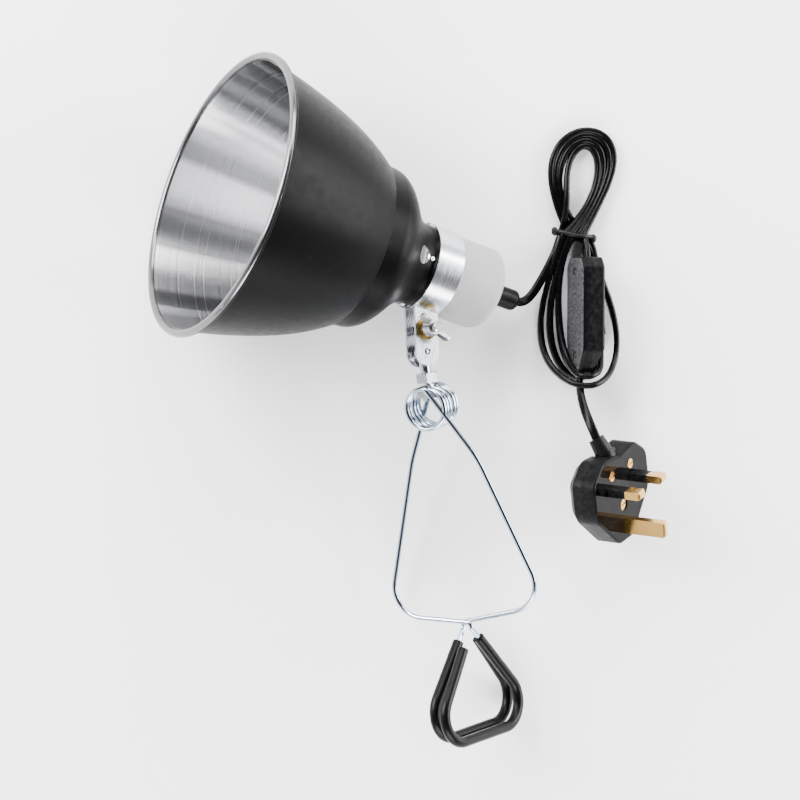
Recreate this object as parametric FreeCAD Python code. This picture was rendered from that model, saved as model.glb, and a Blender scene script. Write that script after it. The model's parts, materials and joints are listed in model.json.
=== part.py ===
"""Clip-on heat lamp fixture: spun reflector, ceramic lampholder, ball joint, spring clamp, lead and plug.

The lamp lies on a flat surface, resting on the reflector's flank, the rear edge of the ceramic and one corner
of the clamp's jaws.  All lengths are in millimetres.  The row frame has +Z up, its origin under the middle of
the fixture without its lead, and +Y towards the reflector from the clamp's jaws.
"""
import FreeCAD, Part
import os
from math import acos, cos, pi, radians, sin, sqrt, tan
from FreeCAD import Vector

# -------------------------------------------------- placing of the lamp head
RIM_CENTRE = Vector(-61.5, 100.9, 67.88)    # centre of the reflector's open rim
HEADING = -18.8                             # heading of the lamp axis, towards the rear, degrees from +X
DROOP = 19.34                               # how far the lamp axis dips towards the rear, degrees
BRACKET_ROLL = 13.2                         # how far above horizontal the bracket leaves the axis, degrees

# -------------------------------------------------- reflector and lampholder, by distance from the rim
SHEET = 0.8                                 # wall of the spun aluminium
BEAD_R, BEAD_TUBE = 69.0, 1.9               # rolled edge
BOWL_PROFILE = [(0.5, 67.6), (10.5, 65.7), (30.7, 60.7), (54.7, 52.3), (71.5, 43.2)]
STEP = (72.6, 41.2)                         # start of the short straight band behind the bowl
FLARE_PROFILE = [(80.5, 40.6), (84.0, 39.6), (89.4, 35.4), (96.0, 27.6), (102.7, 21.9), (107.0, 20.6)]
NECK_END = 110.0
NECK_R = 20.6
FLANGE_BORE_R = 17.8
VENT_STATION, VENT_R, VENTS = 101.5, 4.4, 4
RIVET_STATION = 107.3

SOCKET_R = 13.2                             # E27 lamp cap bore
SHELL_MOUTH, WELL_FLOOR = 97.0, 116.0
BODY_FRONT, BODY_BACK = 98.0, 118.0         # ceramic front half
BOSS_R = 17.6
CERAMIC_R = 20.5
CAP_BACK = 151.0                            # ceramic rear half ends here
CAP_ROUND = 5.5
CAVITY_R = 15.5
BAND_FRONT, BAND_BACK = 110.4, 124.4
BAND_WALL = 1.0
GLAND_R, GLAND_TIP = 5.3, 168.6

# -------------------------------------------------- bracket and ball joint
BALL_STATION, BALL_RADIUS_FROM_AXIS = 123.6, 40.4
EAR_LEAN = 17.0                             # the ears lean towards the rear by this angle
EAR_GAP = 9.4                               # between the ears' middle planes
EAR_SHEET = 1.4
EAR_WIDTH = 12.5
EAR_REACH = 26.0
BALL_R = 4.5
BALL_FIT = 0.06
BOLT_SETBACK = 11.0                         # from the ball towards the lamp
BOLT_R = 2.4
BOLT_TIP = 16.5

# -------------------------------------------------- spring clamp
STEM_DIRECTION = Vector(0.170, -0.984, -0.0578)
COIL_LEAN = 35.3                            # the coil's axis leans this far from upright
STUD_R = 2.2
NUT_TOP, NUT_HEIGHT, NUT_FLATS = 10.2, 4.6, 10.0
COIL_AT = 27.2                              # from the ball's centre to the coil's axis
COIL_R = 10.0                               # to the middle of the wire
WIRE_R = 1.25
COIL_PITCH = 2.55
COIL_TURNS = 1.85                           # in each arm's half of the coil
COIL_CORNERS = 22                           # bends that make each half of the coil
COIL_END = 7.6                              # where an arm leaves the coil, along the coil's axis
CROSSING = 107.8                            # from the coil to where the arms cross
CROSS_STEP = 1.42                           # each arm passes this far to its own side of the middle plane
ARM_KINKS = {1: (22.0, 27.0), -1: (17.6, 27.0)}  # slight bend of the right and the left arm below the coil
ARM_KINK_ROUND = 60.0
HANDLE_CORNERS = {1: (44.4, 102.6), -1: (41.8, 102.6)}
HANDLE_ROUND = 15.0
JAW_TWIST = 10.0                            # the jaw loops are turned about the stem by this angle
JAW_OFFSET = 2.87                           # each loop's distance from the middle plane at its root
JAW_SPLAY = 0.022                           # how the loops draw apart with the distance from the root
JAW_UNEVEN = 1.8                            # the right arm's loop is this much shorter
JAW_ROOT = 111.5
JAW_NEAR, JAW_NEAR_ROUND = (48.6, 161.5), 13.0
JAW_FAR, JAW_FAR_ROUND = (-40.4, 168.0), 13.0
JAW_END_SIDE, JAW_END = 11.0, 121.0
SLEEVE_R = 2.7
SLEEVE_START = 117.5

# -------------------------------------------------- lead
CORD_WIDTH = 4.6                            # flat twin lead, widest way
LEAD_IN = [Vector(*p) for p in [
    (87.3, 50.24, 12.85), (90.16, 49.27, 11.8), (93.2, 49.6, 10.6), (96, 51.4, 9.4), (98.7, 54.3, 8.1),
    (101.8, 58.8, 6.6), (105, 63.9, 5), (108, 69.3, 3.7), (110.5, 74.3, 2.9), (111.8, 79.3, 2.6)]]
TAIL = [Vector(*p) for p in [
    (120.9, 16.9, 13.7), (120.8, 11.9, 14.1), (120.8, 7.1, 15.6), (121.1, 2.6, 17.9), (121.6, -1.6, 20.6),
    (122.6, -5.9, 23.3), (124.0, -10.3, 25.7), (125.7, -14.9, 27.5), (127.5, -19.4, 28.3)]]
TIE_AT = Vector(119.3, 83.1, 0)
WAIST_WIDTH = 17.0
HANK_FLOOR = 0.25
HANK_HEIGHT = 8.2
UPPER_LOBE = (55.0, 17.8)                   # length and half width of the hank's lobe beyond the tie
LOWER_LOBE = (76.0, 21.6)
UPPER_HEADING, LOWER_HEADING = 82.0, -86.6  # headings of the two lobes
STRAND_BUNDLE = 11.0

# -------------------------------------------------- switch on the lead
SWITCH_LENGTH, SWITCH_WIDTH, SWITCH_DEPTH = 58.0, 24.0, 12.0
SWITCH_CENTRE = Vector(124.3, 42.9, 13.2)
SWITCH_HEADING = -90.8                      # along the switch, towards the plug
SWITCH_LEAN = 10.0                          # the switch stands on one long side, leaning over a little
SWITCH_WALL = 1.8
ROCKER_AT = 4.0                             # along the switch
ROCKER_R, ROCKER_WIDTH = 8.3, 9.4           # swept radius and width of the rocker
ROCKER_PIVOT = 2.4                          # height of the pivot over the split line
ROCKER_SWING = 7.0                          # each way from level; it rests rocked over to one side
SWITCH_SCREWS = (-22.0, 19.5)               # along the switch
COVER_SLOPE = (16.0, 1.2)                   # the cover slopes down from here to this height at the plug end
LEAD_LEVEL = -3.0                           # the lead leaves the plug end this far below the split line

# -------------------------------------------------- plug
PLUG_FACE = Vector(139.6, -40.2, 30.1)      # middle of the line through the two short pins, on the face
PIN_DIRECTION = Vector(0.760, -0.068, 0.647)
EARTH_SIDE = Vector(0.152, -0.949, -0.278)
PIN_PITCH, EARTH_PITCH = 22.2, 22.2         # standard pin spacing
LINE_PIN = (6.35, 4.0, 17.7)                # width, thickness and length of a short pin
EARTH_PIN = (4.0, 8.0, 22.7)
PIN_SLEEVE = 9.3
BASE_DEPTH, COVER_DEPTH = 8.0, 7.8
PLUG_OUTLINE = [(0, -14.5), (16.0, -16.5), (27.0, -8.0), (27.0, 10.5), (7.0, 30.5), (0, 30.5)]
PLUG_ROUNDS = [8.0, 8.0, 12.0, 7.0]
PLUG_WALL = 2.4
GRIP_SCREW = (9.2, -7.0)
COVER_SCREW = (0.0, 11.5)
SCREW_TIP = -12.0                           # all three screws end at this depth
PIN_HEAD_TOP, PIN_HEAD_LOW = -3.05, -7.6    # brass blocks under the pins
FUSE_AT = (-18.2, -9.4)                     # across the plug and its depth
GUARD_AT = (0.0, -14.0, -8.0)               # where the lead guard leaves the plug
GUARD_LENGTH, GUARD_LEAN = 9.5, 28.0        # the guard leans towards the back of the plug

OUT = "parts"
os.makedirs(OUT, exist_ok=True)


# ================================================== helpers
def unit(v):
    """Vector of length one along v."""
    return Vector(v).normalize()


def frame(origin, z_axis, x_near):
    """Placement with local Z along z_axis and local X as near x_near as it can be."""
    z = unit(z_axis)
    x = unit(Vector(x_near) - z * z.dot(x_near))
    rotation = FreeCAD.Rotation(x, z.cross(x), z, "ZXY")
    return FreeCAD.Placement(origin, rotation)


def placed(shape, where):
    """Copy of a shape moved from its local frame to the row frame."""
    copy = shape.copy()
    copy.Placement = where.multiply(copy.Placement)
    return copy


def save(name, shape, where=None):
    """Write one node in the row frame, and stop if it isn't a sound solid."""
    if where is not None:
        shape = placed(shape, where)
    solids = shape.Solids
    if not solids or not all(s.isValid() and s.Volume > 0 for s in solids):
        raise RuntimeError("bad solid in " + name)
    result = solids[0] if len(solids) == 1 else Part.makeCompound(solids)
    result.exportStep(os.path.join(OUT, name + ".step"))
    NODES[name] = result


def disc(radius, low, high, at=(0.0, 0.0)):
    """Cylinder along local Z between two heights."""
    return Part.makeCylinder(radius, high - low, Vector(at[0], at[1], low))


def ring(outer, inner, low, high):
    """Round ring along local Z."""
    return disc(outer, low, high).cut(disc(inner, low - 1, high + 1))


def block(x0, x1, y0, y1, z0, z1):
    """Box between two corners."""
    return Part.makeBox(x1 - x0, y1 - y0, z1 - z0, Vector(x0, y0, z0))


def bar(at, size, low, high):
    """Rectangular bar along local Z with its middle at a point."""
    half_x, half_y = size[0] / 2, size[1] / 2
    return block(at[0] - half_x, at[0] + half_x, at[1] - half_y, at[1] + half_y, low, high)


def hexagon(flats, low, high):
    """Hexagonal prism along local Z."""
    r = flats / sqrt(3)
    corners = [Vector(r * cos(i * pi / 3), r * sin(i * pi / 3), low) for i in range(7)]
    return Part.Face(Part.makePolygon(corners)).extrude(Vector(0, 0, high - low))


def edges_at(shape, z):
    """Edges that lie in one plane across local Z."""
    return [e for e in shape.Edges if e.BoundBox.ZLength < 0.01 and abs(e.BoundBox.ZMin - z) < 0.01]


def revolved(edges):
    """Solid of revolution about local Z from closed edges in the X-Z plane."""
    return Part.Face(Part.Wire(edges)).revolve(Vector(0, 0, 0), Vector(0, 0, 1), 360)


def spline(points):
    """Edge through points."""
    curve = Part.BSplineCurve()
    curve.interpolate(points)
    return curve.toShape()


def line(a, b):
    """Straight edge."""
    return Part.LineSegment(a, b).toShape()


def rounded_route(points, radii):
    """Wire of straight runs joined by tangent arcs; radii holds one radius for each inner point."""
    edges = []
    at = points[0]
    for before, corner, after, radius in zip(points, points[1:], points[2:], radii):
        arrive, leave = unit(corner - before), unit(after - corner)
        half = acos(max(-1.0, min(1.0, arrive.dot(leave)))) / 2
        start = corner - arrive * radius * tan(half)
        end = corner + leave * radius * tan(half)
        inward = unit(leave - arrive)
        middle = corner + inward * (radius / cos(half) - radius)
        edges.append(line(at, start))
        edges.append(Part.Arc(start, middle, end).toShape())
        at = end
    edges.append(line(at, points[-1]))
    return edges


def cord_radii(points):
    """Largest arc at each inner point: 0.45 of the shorter run over the tangent of half the turn."""
    found = []
    for before, corner, after in zip(points, points[1:], points[2:]):
        arrive, leave = corner - before, after - corner
        half = arrive.getAngle(leave) / 2
        found.append(0.45 * min(arrive.Length, leave.Length) / tan(half))
    return found


def tube(edges, radius):
    """Round tube along joined edges."""
    path = Part.Wire(edges)
    first = path.OrderedEdges[0]
    start = first.valueAt(first.FirstParameter)
    along = first.tangentAt(first.FirstParameter)
    section = Part.Wire(Part.makeCircle(radius, start, along))
    return path.makePipeShell([section], True, False)


def cord(name, points):
    """Save a free cord's tube and print how it bends."""
    radii = cord_radii(points)
    path = rounded_route(points, radii)
    length = sum(e.Length for e in path)
    body = tube(path, CORD_WIDTH / 2)
    expected = length * pi * (CORD_WIDTH / 2) ** 2
    print(name, "radii", [round(r, 1) for r in radii], "length", round(length, 1),
          "volume ratio", round(body.Volume / expected, 4))
    save(name, body)


NODES = {}

# ================================================== frames
heading, droop, roll = radians(HEADING), radians(DROOP), radians(BRACKET_ROLL)
lamp_axis = Vector(cos(droop) * cos(heading), cos(droop) * sin(heading), -sin(droop))
side = Vector(sin(heading), -cos(heading), 0)
radial = side * cos(roll) + side.cross(lamp_axis) * sin(roll)
LAMP = frame(RIM_CENTRE, lamp_axis, radial)

ear_lean = radians(EAR_LEAN)
ear_direction = radial * cos(ear_lean) + lamp_axis * sin(ear_lean)
ball_centre = RIM_CENTRE + lamp_axis * BALL_STATION + radial * BALL_RADIUS_FROM_AXIS
bolt_direction = radial.cross(lamp_axis)
EARS = frame(ball_centre, bolt_direction, ear_direction)
BOLT = frame(ball_centre - ear_direction * BOLT_SETBACK, bolt_direction, ear_direction)

stem = unit(STEM_DIRECTION)
upright = unit(Vector(0, 0, 1) - stem * stem.z)
across = upright.cross(stem)
coil_lean = radians(COIL_LEAN)
coil_axis = upright * cos(coil_lean) + across * sin(coil_lean)
if coil_axis.x > 0:
    coil_axis = upright * cos(coil_lean) - across * sin(coil_lean)
CLAMP = frame(ball_centre + stem * COIL_AT, stem, coil_axis.cross(stem))


# ================================================== reflector
def reflector_shade():
    """Spun bowl with a rolled bead, a stepped shoulder, a vented flare and a flanged neck."""
    def inner(points):
        moved = []
        for i, (s, r) in enumerate(points):
            s0, r0 = points[max(i - 1, 0)]
            s1, r1 = points[min(i + 1, len(points) - 1)]
            run = sqrt((s1 - s0) ** 2 + (r1 - r0) ** 2)
            moved.append((s + SHEET * (r1 - r0) / run, r - SHEET * (s1 - s0) / run))
        return moved

    def to_3d(points):
        return [Vector(r, 0, s) for s, r in points]

    bowl, flare = to_3d(BOWL_PROFILE), to_3d(FLARE_PROFILE)
    bowl_in, flare_in = to_3d(inner(BOWL_PROFILE)), to_3d(inner(FLARE_PROFILE))
    step = Vector(STEP[1], 0, STEP[0])
    step_in = Vector(STEP[1] - SHEET, 0, STEP[0] + 0.2)
    flange_top = NECK_END - SHEET
    outline = [
        spline(bowl), line(bowl[-1], step), line(step, flare[0]), spline(flare),
        line(flare[-1], Vector(NECK_R, 0, NECK_END)),
        line(Vector(NECK_R, 0, NECK_END), Vector(FLANGE_BORE_R, 0, NECK_END)),
        line(Vector(FLANGE_BORE_R, 0, NECK_END), Vector(FLANGE_BORE_R, 0, flange_top)),
        line(Vector(FLANGE_BORE_R, 0, flange_top), Vector(NECK_R - SHEET, 0, flange_top)),
        line(Vector(NECK_R - SHEET, 0, flange_top), flare_in[-1]),
        spline(flare_in), line(flare_in[0], step_in), line(step_in, bowl_in[-1]), spline(bowl_in),
        line(bowl_in[0], bowl[0])]
    shell = revolved(Part.__sortEdges__(outline))
    bead = Part.makeTorus(BEAD_R, BEAD_TUBE, Vector(0, 0, 0.5))
    lip = ring(NECK_R + 1.3, NECK_R - 0.4, NECK_END - SHEET, NECK_END)
    shade = shell.fuse([bead, lip]).removeSplitter()
    for i in range(VENTS):
        vent = Part.makeCylinder(VENT_R, 14, Vector(16, 0, VENT_STATION - 4.2), Vector(1, 0, 0.6))
        vent.rotate(Vector(0, 0, 0), Vector(0, 0, 1), 360.0 / VENTS * i)
        shade = shade.cut(vent)
    return shade


def shade_rivets():
    """Small dome-headed rivets that fix the neck's lining ring."""
    heads = []
    for i in range(VENTS):
        head = Part.makeSphere(1.2, Vector(NECK_R - 0.2, 0, RIVET_STATION))
        head = head.cut(disc(NECK_R + 0.05, RIVET_STATION - 3, RIVET_STATION + 3))
        head.rotate(Vector(0, 0, 0), Vector(0, 0, 1), 360.0 / VENTS * i)
        heads.append(head)
    return Part.makeCompound(heads)


def retaining_ring():
    """Castellated ring that clamps the neck's flange against the ceramic."""
    body = ring(19.3, BOSS_R + 0.1, NECK_END - SHEET - 5.1, NECK_END - SHEET - 0.05)
    for i in range(6):
        slot = block(15, 22, -1.6, 1.6, NECK_END - SHEET - 6, NECK_END - SHEET - 3.2)
        slot.rotate(Vector(0, 0, 0), Vector(0, 0, 1), 60 * i)
        body = body.cut(slot)
    return body


save("reflector_shade", reflector_shade(), LAMP)
save("shade_rivets", shade_rivets(), LAMP)
save("retaining_ring", retaining_ring(), LAMP)

# ================================================== lampholder
boss = disc(BOSS_R, BODY_FRONT, NECK_END + 0.1)
socket_front = boss.fuse(disc(CERAMIC_R, NECK_END + 0.02, BODY_BACK)).removeSplitter()
socket_front = socket_front.cut(disc(SOCKET_R + 0.6, BODY_FRONT - 1, WELL_FLOOR))
save("lampholder_front", socket_front, LAMP)

cap = disc(CERAMIC_R, BODY_BACK + 0.02, CAP_BACK)
cap = cap.makeFillet(CAP_ROUND, edges_at(cap, CAP_BACK))
cap = cap.cut(disc(CAVITY_R, BODY_BACK - 1, CAP_BACK - 12.0))
cap = cap.cut(disc(3.6, CAP_BACK - 14, CAP_BACK + 1))
save("lampholder_rear", cap, LAMP)

shell_floor = WELL_FLOOR - 0.6
shell = ring(SOCKET_R + 0.5, SOCKET_R, SHELL_MOUTH, shell_floor)
shell = shell.fuse(ring(SOCKET_R + 0.5, 8.0, shell_floor - 0.5, shell_floor)).removeSplitter()
save("screw_shell", shell, LAMP)

save("centre_contact", block(-3.0, 7.3, -2.4, 2.4, WELL_FLOOR - 0.7, WELL_FLOOR - 0.03), LAMP)

insulator = disc(CAVITY_R - 0.2, BODY_BACK + 0.1, BODY_BACK + 4.0)
save("insulating_disc", insulator, LAMP)

for i, name in enumerate(["live_terminal", "neutral_terminal"]):
    turn = 180 * i
    body = block(5.0, 11.0, -3.5, 3.5, BODY_BACK + 4.1, BODY_BACK + 11.0)
    body = body.cut(Part.makeCylinder(1.6, 8, Vector(8.0, -4, BODY_BACK + 8.4), Vector(0, 1, 0)))
    body.rotate(Vector(0, 0, 0), Vector(0, 0, 1), turn)
    save(name, body, LAMP)
screws = []
for turn in (0, 180):
    shank = disc(1.3, BODY_BACK + 11.05, BODY_BACK + 12.4, (8.0, 0))
    screw = shank.fuse(disc(2.4, BODY_BACK + 12.4, BODY_BACK + 14.0, (8.0, 0)))
    screw = screw.cut(block(5, 11, -0.4, 0.4, BODY_BACK + 13.2, BODY_BACK + 15))
    screw.rotate(Vector(0, 0, 0), Vector(0, 0, 1), turn)
    screws.append(screw)
save("terminal_screws", Part.makeCompound(screws), LAMP)
for name, sign in [("live_core", 1), ("neutral_core", -1)]:
    run = [Vector(0, 1.3 * sign, CAP_BACK - 2), Vector(0, 1.3 * sign, CAP_BACK - 16),
           Vector(8.0 * sign, 7.0 * sign, BODY_BACK + 14), Vector(8.0 * sign, 7.0 * sign, BODY_BACK + 8.4),
           Vector(8.0 * sign, 3.6 * sign, BODY_BACK + 8.4)]
    save(name, tube(rounded_route(run, [4.0, 3.0, 1.5]), 1.05), LAMP)

gland = disc(GLAND_R, CAP_BACK + 0.02, GLAND_TIP)
save("cord_gland", gland.makeFillet(2.8, edges_at(gland, GLAND_TIP)), LAMP)


# ================================================== bracket
def collar_band():
    """Steel strap round the ceramic with two ears that hold the ball."""
    inner_r = CERAMIC_R + 0.05
    strap = placed(ring(inner_r + BAND_WALL, inner_r, BAND_FRONT, BAND_BACK), LAMP)
    half_gap = EAR_GAP / 2
    ears = []
    for sign in (1, -1):
        low = sign * half_gap - EAR_SHEET / 2
        plate = block(-EAR_REACH, 0.8, -EAR_WIDTH / 2, EAR_WIDTH / 2, low, low + EAR_SHEET)
        plate = plate.fuse(disc(EAR_WIDTH / 2, low, low + EAR_SHEET, (0.8, 0)))
        outer = half_gap + EAR_SHEET / 2
        dome = Part.makeSphere(BALL_R + 1.2).cut(block(-9, 9, -9, 9, -outer, outer))
        dome = dome.cut(block(-9, 9, -9, 9, -20 * sign, 0) if sign > 0 else block(-9, 9, -9, 9, 0, 20))
        ears.append(plate.fuse(dome))
    both = placed(ears[0].fuse(ears[1]), EARS)
    both = both.cut(placed(disc(inner_r + 0.4, BAND_FRONT - 20, BAND_BACK + 40), LAMP))
    band = strap.fuse(both)
    inside = half_gap - EAR_SHEET / 2
    gap = placed(block(-EAR_REACH - 3, 12, -30, 30, -inside, inside), EARS)
    band = band.cut(gap)
    band = band.cut(placed(Part.makeSphere(BALL_R + BALL_FIT), EARS))
    band = band.cut(placed(disc(1.7, -12, 12), EARS))
    band = band.cut(placed(disc(BOLT_R + 0.06, -12, 12), BOLT))
    return band.removeSplitter()


ear_face = EAR_GAP / 2 + EAR_SHEET / 2
save("collar_band", collar_band())

bolt = disc(BOLT_R, -ear_face, BOLT_TIP)
head = disc(4.4, -ear_face - 2.4, -ear_face - 0.02)
head = head.makeFillet(1.8, edges_at(head, -ear_face - 2.4))
neck = disc(BOLT_R, -ear_face - 0.5, -ear_face + 0.5)
bolt = bolt.fuse([head, neck]).removeSplitter()
save("clamp_bolt", bolt.makeChamfer(0.5, edges_at(bolt, BOLT_TIP)), BOLT)
washer_top = ear_face + 1.1
save("flat_washer", ring(5.4, BOLT_R + 0.1, ear_face + 0.03, washer_top), BOLT)
spring_washer = ring(4.6, BOLT_R + 0.15, washer_top + 0.03, washer_top + 1.7)
save("spring_washer", spring_washer.cut(block(0, 6, -0.5, 0.5, washer_top, washer_top + 2)), BOLT)


def wing_nut():
    """Cast nut with a tapered hub and two thumb wings."""
    low = washer_top + 1.75
    hub = Part.makeCone(4.3, 3.5, 5.2, Vector(0, 0, low))
    wings = []
    for turn in (48, 228):
        outline = [Vector(2.5, 0, low + 0.6), Vector(9.0, 0, low + 2.6), Vector(9.6, 0, low + 7.2),
                   Vector(7.6, 0, low + 7.6), Vector(3.2, 0, low + 4.6)]
        blade = Part.Face(Part.makePolygon(outline + outline[:1])).extrude(Vector(0, 1.7, 0))
        blade.translate(Vector(0, -0.85, 0))
        corners = [e for e in blade.Edges if abs(e.BoundBox.YLength - 1.7) < 0.01 and e.BoundBox.XMin > 5]
        blade = blade.makeFillet(1.1, corners)
        blade.rotate(Vector(0, 0, 0), Vector(0, 0, 1), turn)
        wings.append(blade)
    return hub.fuse(wings).cut(disc(BOLT_R + 0.05, 0, 30)).removeSplitter()


save("wing_nut", wing_nut(), BOLT)

# ================================================== ball stud and clamp
STUD = frame(ball_centre, stem, coil_axis.cross(stem))
coil_top = COIL_AT - COIL_R - WIRE_R
saddle_top = COIL_AT - COIL_R + WIRE_R + 0.3
saddle_low = saddle_top + 3.4
ball = Part.makeSphere(BALL_R)
neck = Part.makeCone(2.9, 2.5, NUT_TOP - 3.2, Vector(0, 0, 3.2))
stud = ball.fuse([neck, disc(STUD_R, NUT_TOP - 0.1, saddle_low + 1.6)]).removeSplitter()
save("ball_stud", stud, STUD)
nut = hexagon(NUT_FLATS, NUT_TOP, NUT_TOP + NUT_HEIGHT).cut(disc(STUD_R + 0.04, 0, 30))
nut = nut.common(Part.makeCone(5.0, 9.6, NUT_HEIGHT + 0.001, Vector(0, 0, NUT_TOP))).removeSplitter()
save("stud_nut", nut, STUD)
stud_end = disc(3.6, saddle_low + 0.1, saddle_low + 1.5).cut(disc(STUD_R + 0.02, 0, 60))
save("stud_end_ring", stud_end, STUD)

saddle = Part.makeCylinder(COIL_R - WIRE_R - 0.3, 9.6, Vector(0, -4.8, 0), Vector(0, 1, 0))
saddle = saddle.fuse(Part.makeCylinder(COIL_R - WIRE_R, 1.6, Vector(0, -0.8, 0), Vector(0, 1, 0)))
saddle = saddle.common(block(-7.5, 7.5, -6, 6, -COIL_R, saddle_low - COIL_AT))
sleeve = disc(3.4, coil_top - COIL_AT + 0.2, -7.0).common(block(-3.4, 3.4, -3.1, 3.1, -20, 0))
saddle = saddle.fuse(sleeve).cut(disc(STUD_R + 0.06, -20, 20)).removeSplitter()
save("coil_saddle", saddle, CLAMP)

middle_turn = Part.makeTorus(COIL_R, WIRE_R, Vector(0, 0, 0), Vector(0, 1, 0))
stud_gap = STUD_R + 1.2
middle_turn = middle_turn.cut(block(-stud_gap, stud_gap, -3, 3, -COIL_R - 5, 0))
save("coil_middle", middle_turn, CLAMP)


def jaw_points(sign):
    """Points of one jaw loop from the crossing to its free end, in the clamp frame."""
    twist = radians(JAW_TWIST)

    def point(along_coil, down):
        offset = -sign * (JAW_OFFSET + JAW_SPLAY * (down - JAW_ROOT))
        return Vector(offset * cos(twist) - along_coil * sin(twist),
                      offset * sin(twist) + along_coil * cos(twist), down)

    first, second = (JAW_NEAR, JAW_FAR) if sign > 0 else (JAW_FAR, JAW_NEAR)
    shorter = JAW_UNEVEN if sign > 0 else 0.0
    return [point(first[0], first[1] - shorter), point(second[0], second[1] - shorter),
            point(-sign * JAW_END_SIDE, JAW_END)]


def arm_route(sign):
    """Points and bend radii of an arm: a helix round local Y, then the leg and its jaw loop."""
    turn_step = 2 * pi * COIL_TURNS / COIL_CORNERS
    corner_r = COIL_R / cos(turn_step / 2)
    coil = []
    for i in range(COIL_CORNERS):
        angle = -turn_step * (COIL_CORNERS - i - 0.5)
        coil.append(Vector(corner_r * sin(angle) * sign, (COIL_END + COIL_PITCH * angle / (2 * pi)) * sign,
                           -corner_r * cos(angle)))
    first_angle = -turn_step * COIL_CORNERS
    start = Vector(COIL_R * sin(first_angle) * sign, (COIL_END - COIL_PITCH * COIL_TURNS) * sign,
                   -COIL_R * cos(first_angle))
    root_k = -CROSS_STEP * sign
    root_x = -sign * JAW_OFFSET * cos(radians(JAW_TWIST))
    kink_side, kink_down = ARM_KINKS[sign]
    corner_side, corner_down = HANDLE_CORNERS[sign]
    leg = [
        Vector(1.95 * sign, COIL_END * sign, -COIL_R),
        Vector(kink_side * sign, (COIL_END * sign + root_k) / 2, kink_down),
        Vector(corner_side * sign, root_k, corner_down),
        Vector(root_x, root_k, CROSSING + 0.9),
        Vector(root_x, root_k, JAW_ROOT)]
    rounds = (JAW_NEAR_ROUND, JAW_FAR_ROUND) if sign > 0 else (JAW_FAR_ROUND, JAW_NEAR_ROUND)
    radii = [COIL_R * 0.95] * COIL_CORNERS + [2.8, ARM_KINK_ROUND, HANDLE_ROUND, 2.6, 2.6, *rounds]
    return [start] + coil + leg + jaw_points(sign), radii


for name, sign in [("spring_arm_right", 1), ("spring_arm_left", -1)]:
    points, radii = arm_route(sign)
    save(name, tube(rounded_route(points, radii), WIRE_R), CLAMP)

for name, sign in [("jaw_sleeve_right", 1), ("jaw_sleeve_left", -1)]:
    points, radii = arm_route(sign)
    loop = points[-4:]
    along = unit(loop[1] - loop[0])
    start = loop[0] + along * ((SLEEVE_START - JAW_ROOT) / along.z)
    end = loop[-1] + unit(loop[-1] - loop[-2]) * 1.5
    path = rounded_route([start, loop[1], loop[2], end], radii[-2:])
    sleeve = tube(path, SLEEVE_R).cut(tube(path, WIRE_R + 0.03))
    save(name, sleeve, CLAMP)

# ================================================== lead
cord("lead_lamp_end", LEAD_IN)
cord("lead_plug_end", TAIL)


def lobe(length, half_width, lobe_heading):
    """Closed solid round the strands of one lobe of the hank: a pear-shaped ring standing on the surface."""
    def outline(grow):
        half_waist = WAIST_WIDTH / 2
        wide, far = half_width + grow, length + grow
        points = [Vector(0.0, -half_waist, 0), Vector(length * 0.22, -half_waist - wide * 0.10, 0),
                  Vector(length * 0.62, -wide, 0), Vector(length * 0.90, -wide * 0.72, 0), Vector(far, 0, 0),
                  Vector(length * 0.90, wide * 0.72, 0), Vector(length * 0.62, wide, 0),
                  Vector(length * 0.22, half_waist + wide * 0.10, 0), Vector(0.0, half_waist, 0)]
        return [spline(points), line(points[-1], points[0])]

    def hole():
        wide = half_width - STRAND_BUNDLE
        points = [Vector(length * 0.30, 0, 0), Vector(length * 0.62, -wide, 0),
                  Vector(length - STRAND_BUNDLE, 0, 0), Vector(length * 0.62, wide, 0)]
        curve = Part.BSplineCurve()
        curve.interpolate(points, PeriodicFlag=True)
        return curve.toShape()

    body = Part.Face(Part.Wire(outline(0))).extrude(Vector(0, 0, HANK_HEIGHT))
    opening = Part.Face(Part.Wire([hole()])).extrude(Vector(0, 0, HANK_HEIGHT))
    body = body.cut(opening)
    turn = radians(lobe_heading)
    where = frame(TIE_AT + Vector(0, 0, HANK_FLOOR), Vector(0, 0, 1), Vector(cos(turn), sin(turn), 0))
    return placed(body, where)


turn = radians(SWITCH_HEADING)
lean = radians(SWITCH_LEAN)
SWITCH = frame(SWITCH_CENTRE, Vector(cos(lean), 0, -sin(lean)), Vector(cos(turn), sin(turn), 0))
switch_room = placed(block(-SWITCH_LENGTH / 2 - 0.4, SWITCH_LENGTH / 2 + 0.4, -SWITCH_WIDTH / 2 - 0.4,
                           SWITCH_WIDTH / 2 + 0.4, -SWITCH_DEPTH / 2 - 0.4, SWITCH_DEPTH / 2 + 5.0), SWITCH)
save("hank_upper_lobe", lobe(*UPPER_LOBE, UPPER_HEADING))
save("hank_lower_lobe", lobe(*LOWER_LOBE, LOWER_HEADING).cut(switch_room))

tie_heading = radians((UPPER_HEADING + LOWER_HEADING + 180) / 2)
TIE = frame(TIE_AT, Vector(0, 0, 1), Vector(cos(tie_heading), sin(tie_heading), 0))
tie_half = WAIST_WIDTH / 2 - 0.1
tie = block(-0.9, 0.9, -tie_half - 1.2, tie_half + 1.2, 0.02, HANK_HEIGHT + 1.2)
tie = tie.cut(block(-2, 2, -tie_half, tie_half, 0.35, HANK_FLOOR + HANK_HEIGHT - 0.1))
save("cord_tie", tie, TIE)


# ================================================== switch
def mirrored_outline(half, rounds):
    """Closed wire from the outline of its +X half, given from one point on the Y axis to the other."""
    right = [Vector(x, y, 0) for x, y in half]
    left = [Vector(-p.x, p.y, 0) for p in reversed(right)]
    edges = rounded_route(right, rounds) + rounded_route(left, rounds[::-1])
    return Part.Wire(Part.__sortEdges__(edges))


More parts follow.
